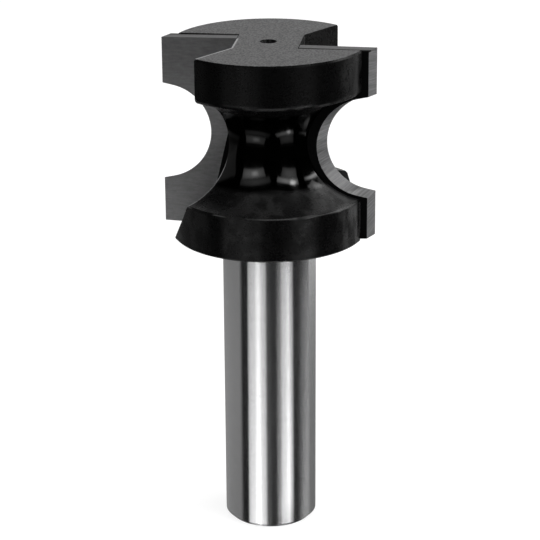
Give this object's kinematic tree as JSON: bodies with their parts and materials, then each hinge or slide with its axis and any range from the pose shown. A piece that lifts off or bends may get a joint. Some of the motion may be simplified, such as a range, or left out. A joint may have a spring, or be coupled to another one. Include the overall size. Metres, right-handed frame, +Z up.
{
  "type": "router bit",
  "caption": "Half-round router bit: a plain shank, and a black coated head with brazed carbide tips that round both edges of a board in one pass.",
  "frame": {"origin": "centre of the shank's foot", "axes": "+Z up the axis of rotation to the head; the cutting faces are parallel to X, with wing 1 along +X and wing 2 along -X"},
  "size_m": [0.029, 0.0262, 0.0684],
  "materials": {
    "body_steel": "black non-stick coating on the head, bright ground shank",
    "carbide": "ground tungsten carbide, bare on the cutting face and the margins",
    "braze": "silver braze"
  },
  "bodies": {
    "root": {"steel_body": "body_steel", "carbide_tip_1": "carbide", "carbide_tip_2": "carbide", "braze_film_1": "braze", "braze_film_2": "braze"}
  },
  "joints": []
}
